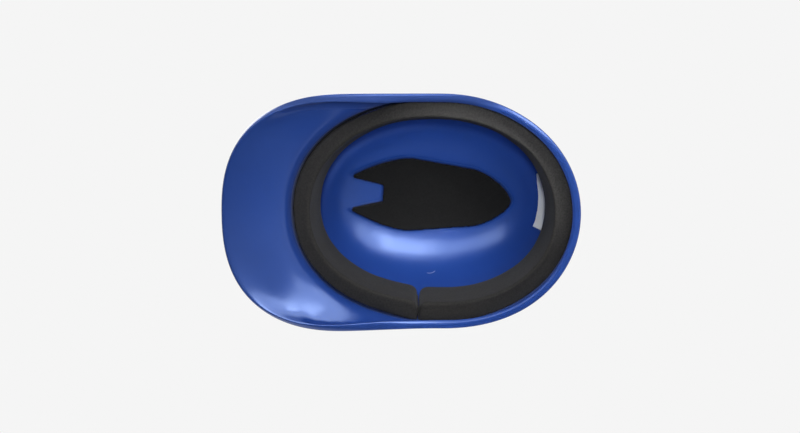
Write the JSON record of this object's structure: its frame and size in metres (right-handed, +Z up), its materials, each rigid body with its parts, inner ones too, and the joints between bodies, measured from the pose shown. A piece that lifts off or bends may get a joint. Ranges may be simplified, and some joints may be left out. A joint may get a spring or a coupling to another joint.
{
  "type": "catcher skull cap",
  "caption": "Rigid skull cap with a short brim and rounded rim bead, lined with a padded foam ring and a notched crown pad.",
  "frame": {"origin": "middle of the cap's footprint, on the surface that it stands on with its brim corners and rear rim", "axes": "+X to the wearer's left, +Y to the back of the head (the brim points to -Y), +Z up through the crown"},
  "size_m": [0.1966, 0.2936, 0.129],
  "materials": {
    "shell_abs": "glossy",
    "pad_cover": "matte",
    "pad_foam": "matte",
    "crown_facing": "matte",
    "tape": "matte",
    "blank_strip": "satin"
  },
  "bodies": {
    "root": {"shell": "shell_abs", "ring_pad_foam": "pad_foam", "ring_pad_cover": "pad_cover", "ring_pad_tape": "tape", "crown_pad_foam": "pad_foam", "crown_pad_facing": "crown_facing", "crown_pad_tape": "tape", "blank_strip": "blank_strip"}
  },
  "joints": []
}
